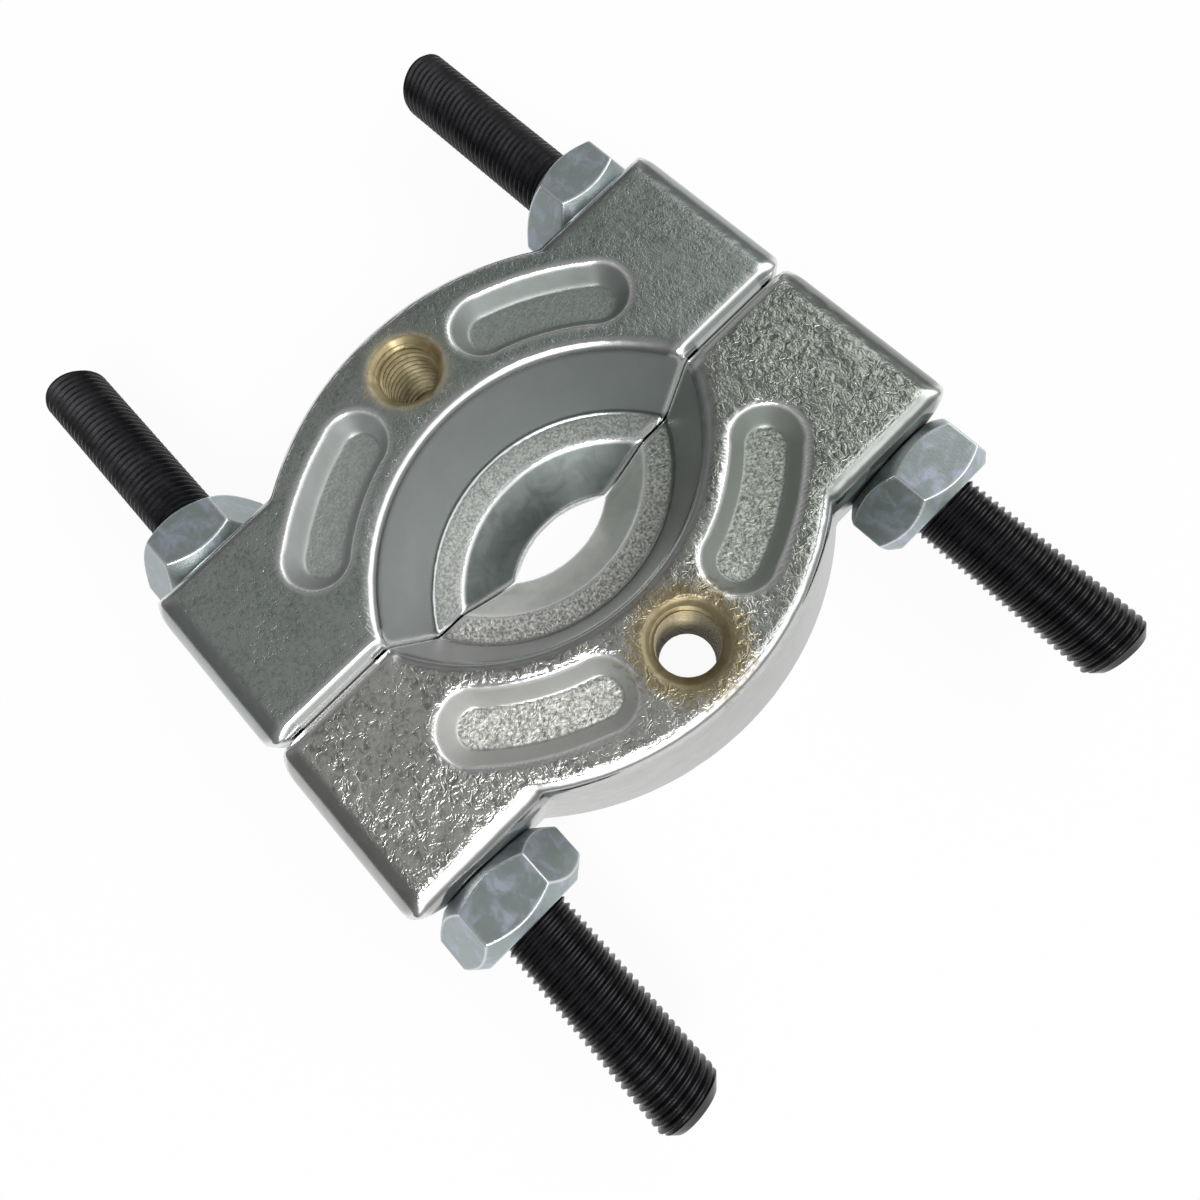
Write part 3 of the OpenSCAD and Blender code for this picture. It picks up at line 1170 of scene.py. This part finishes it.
@dataclass
class Studio:
    """Pale floor, soft light and the camera at the photograph's angle.

    Attributes:
        lens: Focal length for a square 36 mm picture.
        stand: Place of the camera.
        right: Direction of the picture's right edge.
        up: Direction of the picture's top edge.
        back: Direction from the object to the camera.
        floor_size: Width of the floor.
        floor_glow: Share of plain white on the floor, the rest being paint that takes the shadow.
        room_level: Strength of the room's light.
        lit_side: Direction of the lit side of the room.
        lit_steps: Height and brightness of the steps of light on the lit side.
        dim_steps: The same on the other side.
    """

    lens: float = 22.575
    stand: Point = (58.7 * MM, -15.8 * MM, 160.5 * MM)
    right: Point = (0.69498, 0.71062, -0.10963)
    up: Point = (-0.68123, 0.69954, 0.21580)
    back: Point = (0.23004, -0.07529, 0.97026)
    floor_size: float = 8.0
    floor_glow: float = 0.94
    room_level: float = 2.2
    lit_side: Point = (0.80, 0.60, 0.0)
    lit_steps: Steps = ((0.0, 0.18), (0.36, 0.22), (0.5, 1.0), (0.72, 1.0), (0.85, 0.34), (0.94, 0.16))
    dim_steps: Steps = ((0.0, 0.08), (0.5, 0.11), (0.9, 0.16))

    def build(self) -> None:
        """Set the floor, the room's light, the softbox and the camera."""
        bpy.context.scene.view_settings.view_transform = "Standard"
        self.lay_floor()
        self.light_world()
        self.hang_lamp("key_softbox", (0.72, -0.42, 0.95), (0.0, 0.0, 0.01), (0.5, 0.5), 6.0)
        self.set_camera()

    def lay_floor(self) -> None:
        """Lay a pale floor that looks white and still takes the object's shadow."""
        Bench.clear()
        bpy.ops.mesh.primitive_plane_add(size=self.floor_size, location=(0.0, 0.0, 0.0))
        floor = bpy.context.active_object
        floor.name = "floor"
        Bench.set_down(floor)
        material = bpy.data.materials.new("pale_floor")
        material.use_nodes = True
        nodes, links = material.node_tree.nodes, material.node_tree.links
        nodes.clear()
        output = nodes.new("ShaderNodeOutputMaterial")
        paint = nodes.new("ShaderNodeBsdfDiffuse")
        paint.inputs["Color"].default_value = (0.9, 0.9, 0.9, 1.0)
        glow = nodes.new("ShaderNodeEmission")
        rays = nodes.new("ShaderNodeLightPath")
        seen = nodes.new("ShaderNodeMath")
        seen.operation = "MAXIMUM"
        seen_through = nodes.new("ShaderNodeMath")
        seen_through.operation = "MAXIMUM"
        share = nodes.new("ShaderNodeMath")
        share.operation = "MULTIPLY"
        share.inputs[1].default_value = self.floor_glow
        mix = nodes.new("ShaderNodeMixShader")
        links.new(rays.outputs["Is Camera Ray"], seen.inputs[0])
        links.new(rays.outputs["Is Glossy Ray"], seen.inputs[1])
        links.new(seen.outputs[0], seen_through.inputs[0])
        links.new(rays.outputs["Is Transmission Ray"], seen_through.inputs[1])
        links.new(seen_through.outputs[0], share.inputs[0])
        links.new(share.outputs[0], mix.inputs["Fac"])
        links.new(paint.outputs["BSDF"], mix.inputs[1])
        links.new(glow.outputs["Emission"], mix.inputs[2])
        links.new(mix.outputs["Shader"], output.inputs["Surface"])
        floor.data.materials.append(material)

    def light_world(self) -> None:
        """Fill the room with soft light, brighter on one side and white to the camera."""
        world = bpy.data.worlds.new("studio")
        bpy.context.scene.world = world
        world.use_nodes = True
        nodes, links = world.node_tree.nodes, world.node_tree.links
        nodes.clear()
        output = nodes.new("ShaderNodeOutputWorld")
        room = nodes.new("ShaderNodeBackground")
        white = nodes.new("ShaderNodeBackground")
        mix = nodes.new("ShaderNodeMixShader")
        rays = nodes.new("ShaderNodeLightPath")
        where = nodes.new("ShaderNodeTexCoord")
        split = nodes.new("ShaderNodeSeparateXYZ")
        facing = nodes.new("ShaderNodeVectorMath")
        facing.operation = "DOT_PRODUCT"
        facing.inputs[1].default_value = self.lit_side
        side = nodes.new("ShaderNodeMapRange")
        side.interpolation_type = "SMOOTHSTEP"
        side.inputs["From Min"].default_value = -0.25
        side.inputs["From Max"].default_value = 0.45
        tone = nodes.new("ShaderNodeMix")
        tone.data_type = "RGBA"
        dim, lit = self.sky(nodes, self.dim_steps), self.sky(nodes, self.lit_steps)
        room.inputs["Strength"].default_value = self.room_level
        links.new(where.outputs["Generated"], split.inputs[0])
        links.new(where.outputs["Generated"], facing.inputs[0])
        links.new(facing.outputs["Value"], side.inputs["Value"])
        links.new(side.outputs["Result"], tone.inputs[0])
        for steps, socket in ((dim, tone.inputs[6]), (lit, tone.inputs[7])):
            links.new(split.outputs["Z"], steps.inputs["Fac"])
            links.new(steps.outputs["Color"], socket)
        links.new(tone.outputs[2], room.inputs["Color"])
        links.new(rays.outputs["Is Camera Ray"], mix.inputs["Fac"])
        links.new(room.outputs["Background"], mix.inputs[1])
        links.new(white.outputs["Background"], mix.inputs[2])
        links.new(mix.outputs["Shader"], output.inputs["Surface"])
        white.inputs["Color"].default_value = (1.0, 1.0, 1.0, 1.0)

    @staticmethod
    def sky(nodes: bpy.types.Nodes, steps: Steps) -> bpy.types.Node:
        """Add a ramp of light from the horizon to overhead.

        Args:
            nodes: The world's nodes.
            steps: Height from 0 to 1 and brightness of each step.

        Returns:
            The ramp.
        """
        made = nodes.new("ShaderNodeValToRGB")
        stops = made.color_ramp.elements
        for index, (height, level) in enumerate(steps):
            stop = stops[index] if index < 2 else stops.new(height)
            stop.position = height
            stop.color = (level, level, level, 1.0)
        return made

    @staticmethod
    def hang_lamp(name: str, place: Point, aim: Point, size: tuple[float, float], power: float) -> None:
        """Hang one softbox.

        Args:
            name: Name of the lamp.
            place: Where it hangs.
            aim: The point that it faces.
            size: Width and height of its face.
            power: Power in watts.
        """
        lamp = bpy.data.lights.new(name, "AREA")
        lamp.shape = "RECTANGLE"
        lamp.size, lamp.size_y = size
        lamp.energy = power
        holder = bpy.data.objects.new(name, lamp)
        bpy.context.scene.collection.objects.link(holder)
        holder.location = place
        holder.rotation_euler = (Vector(aim) - Vector(place)).to_track_quat("-Z", "Y").to_euler()

    def set_camera(self) -> None:
        """Set the camera where the photograph was taken from."""
        eye = bpy.data.cameras.new("camera")
        eye.sensor_width = 36.0
        eye.sensor_fit = "HORIZONTAL"
        eye.lens = self.lens
        eye.clip_start = 0.005
        holder = bpy.data.objects.new("camera", eye)
        bpy.context.scene.collection.objects.link(holder)
        turn = Matrix((self.right, self.up, self.back)).transposed()
        holder.matrix_world = Matrix.Translation(self.stand) @ turn.to_4x4()
        bpy.context.scene.camera = holder


def main() -> None:
    """Build every piece in order."""
    logging.basicConfig(level=logging.INFO, format="%(name)s %(message)s")
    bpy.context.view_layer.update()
    front = Jaw("front_jaw_forging", "front_jaw", Side.FRONT, relief=0.34 * MM, grain=2.2 * MM)
    rear = Jaw("rear_jaw_forging", "rear_jaw", Side.REAR, relief=0.2 * MM, grain=1.6 * MM)
    front.dress(
        JawFinish(
            name="zinc_crinkled", pale=(0.58, 0.58, 0.56, 1.0), deep=(0.24, 0.25, 0.24, 1.0),
            # The front grip colour, near white, is painted light on the slope down to the gripping edge.
            plain=(0.38, 0.38, 0.38, 1.0), cone=(0.46, 0.46, 0.47, 1.0), grip=(0.84, 0.84, 0.82, 1.0),
            ledge=(0.95, 0.94, 0.92, 1.0), slope=(0.44, 0.45, 0.44, 1.0), floor=(0.86, 0.87, 0.83, 1.0),
            left=(1.15, 1.14, 1.12, 1.0), right=(0.58, 0.62, 0.58, 1.0),
            grain=560.0, crinkle=0.66, grip_metal=0.35,
            brass=(0.29, 0.245, 0.145, 1.0), hole=front.hole, tinge_r=16.6 * MM,
        ).make()
    )
    rear.dress(
        JawFinish(
            name="zinc_fine", pale=(0.42, 0.45, 0.43, 1.0), deep=(0.26, 0.29, 0.27, 1.0),
            plain=(0.36, 0.37, 0.38, 1.0), cone=(0.30, 0.315, 0.315, 1.0),
            # The rear grip colour, near black, is painted shade on the slope down in the opening.
            grip=(0.135, 0.155, 0.15, 1.0), ledge=(0.64, 0.63, 0.62, 1.0),
            # The rear slope colour is set dark as painted shade on the recess walls.
            slope=(0.27, 0.28, 0.275, 1.0), floor=(0.38, 0.385, 0.38, 1.0),
            left=(1.15, 1.17, 1.15, 1.0), right=(0.80, 0.84, 0.81, 1.0),
            grain=880.0, crinkle=0.2, grip_metal=0.9,
            brass=(0.41, 0.35, 0.20, 1.0), hole=rear.hole, tinge_r=13.9 * MM,
        ).make()
    )
    black = StudFinish().make()
    Stud("left_threaded_stud", "left_stud", -front.stud_y).dress(black)
    Stud("right_threaded_stud", "right_stud", front.stud_y).dress(black)
    plate = NutFinish().make()
    for node in ("front_left_nut", "front_right_nut", "rear_left_nut", "rear_right_nut"):
        Nut(node + "_plated", node).dress(plate)
    Studio().build()


if __name__ == "__main__":
    main()
